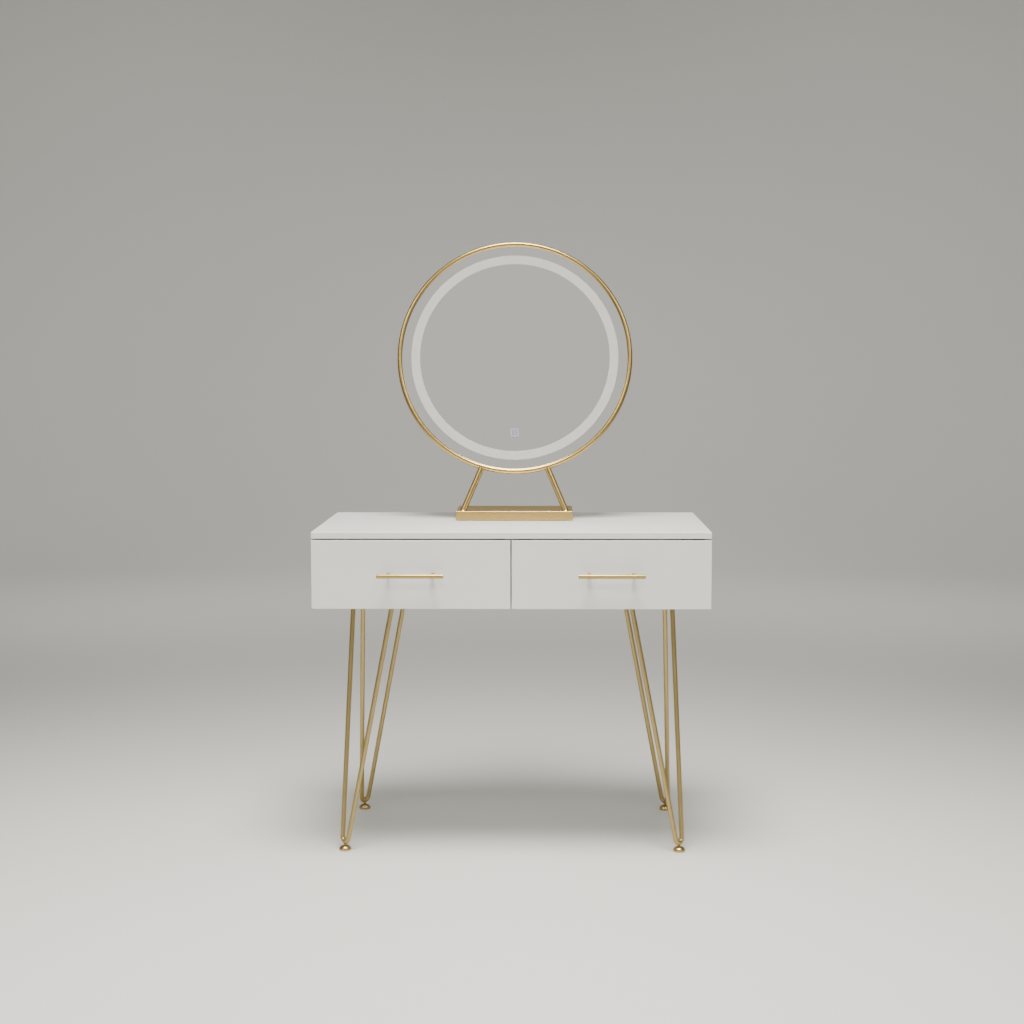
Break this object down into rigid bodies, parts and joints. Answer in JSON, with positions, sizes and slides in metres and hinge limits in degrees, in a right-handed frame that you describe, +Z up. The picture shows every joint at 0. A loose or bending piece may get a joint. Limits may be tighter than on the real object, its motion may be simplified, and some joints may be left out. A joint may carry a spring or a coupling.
{
  "type": "vanity table with mirror",
  "caption": "White dressing table with full-width drawer fronts, gold bar handles, gold hairpin legs on levelling feet, and a free-standing round lit mirror leaning back on a gold stand.",
  "frame": {"origin": "on the floor, under the middle of the whole object's width and depth, handles included", "axes": "+Z up, the drawer fronts face -Y, +X to the right of a person facing the table"},
  "size_m": [0.9, 0.535, 1.4189],
  "materials": {
    "lacquered_board": "satin white lacquer over board",
    "drawer_box_board": "matt white foil over board",
    "zinc_fittings": "zinc plated",
    "beech_dowels": "plain beech",
    "slide_steel": "zinc plated",
    "gold_leg_paint": "satin champagne gold",
    "gold_feet": "glossy champagne gold",
    "gold_handles": "satin champagne gold",
    "gold_mirror_frame": "satin champagne gold",
    "base_plate_steel": "plain steel",
    "rubber_pads": "matt",
    "mirror_glass": "polished, with a frosted ring",
    "diffuser": "opal",
    "led_strip": "satin",
    "back_cover": "matt white powder coat",
    "electronics": "solder mask",
    "black_plastic": "matt",
    "lead_insulation": "satin"
  },
  "bodies": {
    "table": {"top_board": "lacquered_board", "side_panel_left": "lacquered_board", "side_panel_right": "lacquered_board", "bottom_panel": "lacquered_board", "back_panel": "lacquered_board", "divider_panel": "drawer_box_board", "cam_locks": "zinc_fittings", "cam_bolts": "zinc_fittings", "wood_dowels": "beech_dowels", "left_slide_outer_members": "slide_steel", "right_slide_outer_members": "slide_steel", "slide_screws": "zinc_fittings", "front_left_leg": "gold_leg_paint", "front_right_leg": "gold_leg_paint", "rear_left_leg": "gold_leg_paint", "rear_right_leg": "gold_leg_paint", "leg_screws": "gold_leg_paint"},
    "left_slide_middle": {"left_slide_middle_members": "slide_steel"},
    "right_slide_middle": {"right_slide_middle_members": "slide_steel"},
    "left_drawer": {"left_drawer_front": "lacquered_board", "left_drawer_side_outer": "drawer_box_board", "left_drawer_side_inner": "drawer_box_board", "left_drawer_back": "drawer_box_board", "left_drawer_bottom": "drawer_box_board", "left_slide_inner_members": "slide_steel", "left_handle_bar": "gold_handles", "left_handle_posts": "gold_handles", "left_handle_screws": "zinc_fittings", "left_drawer_cam_fittings": "zinc_fittings", "left_drawer_screws": "zinc_fittings"},
    "right_drawer": {"right_drawer_front": "lacquered_board", "right_drawer_side_outer": "drawer_box_board", "right_drawer_side_inner": "drawer_box_board", "right_drawer_back": "drawer_box_board", "right_drawer_bottom": "drawer_box_board", "right_slide_inner_members": "slide_steel", "right_handle_bar": "gold_handles", "right_handle_posts": "gold_handles", "right_handle_screws": "zinc_fittings", "right_drawer_cam_fittings": "zinc_fittings", "right_drawer_screws": "zinc_fittings"},
    "front_left_foot": {"front_left_foot": "gold_feet"},
    "front_right_foot": {"front_right_foot": "gold_feet"},
    "rear_left_foot": {"rear_left_foot": "gold_feet"},
    "rear_right_foot": {"rear_right_foot": "gold_feet"},
    "mirror": {"mirror_base": "gold_mirror_frame", "mirror_base_plate": "base_plate_steel", "mirror_base_pads": "rubber_pads", "left_strut": "gold_mirror_frame", "right_strut": "gold_mirror_frame", "ring_frame": "gold_mirror_frame", "mirror_glass": "mirror_glass", "light_diffuser": "diffuser", "led_strip": "led_strip", "back_cover": "back_cover", "back_cover_screws": "zinc_fittings", "led_driver": "electronics", "touch_sensor": "electronics", "power_inlet": "black_plastic", "inner_leads": "lead_insulation"}
  },
  "joints": [
    {"name": "left_drawer_travel", "type": "slide", "parent": "table", "child": "left_drawer", "axis": [0, -1, 0], "range_m": [0, 0.35]},
    {"name": "right_drawer_travel", "type": "slide", "parent": "table", "child": "right_drawer", "axis": [0, -1, 0], "range_m": [0, 0.35]},
    {"name": "left_slide_middle_travel", "type": "slide", "parent": "table", "child": "left_slide_middle", "axis": [0, -1, 0], "range_m": [0, 0.175]},
    {"name": "right_slide_middle_travel", "type": "slide", "parent": "table", "child": "right_slide_middle", "axis": [0, -1, 0], "range_m": [0, 0.175]},
    {"name": "front_left_foot_height", "type": "slide", "parent": "table", "child": "front_left_foot", "axis": [0, 0, -1], "range_m": [0, 0.01]},
    {"name": "front_right_foot_height", "type": "slide", "parent": "table", "child": "front_right_foot", "axis": [0, 0, -1], "range_m": [0, 0.01]},
    {"name": "rear_left_foot_height", "type": "slide", "parent": "table", "child": "rear_left_foot", "axis": [0, 0, -1], "range_m": [0, 0.01]},
    {"name": "rear_right_foot_height", "type": "slide", "parent": "table", "child": "rear_right_foot", "axis": [0, 0, -1], "range_m": [0, 0.01]},
    {"name": "mirror_lift_off", "type": "slide", "parent": "table", "child": "mirror", "axis": [0, 0, 1], "range_m": [0, 0.2]}
  ],
  "couplings": [
    {"joint": "left_slide_middle_travel", "follows": "left_drawer_travel", "ratio": 0.5},
    {"joint": "right_slide_middle_travel", "follows": "right_drawer_travel", "ratio": 0.5}
  ]
}
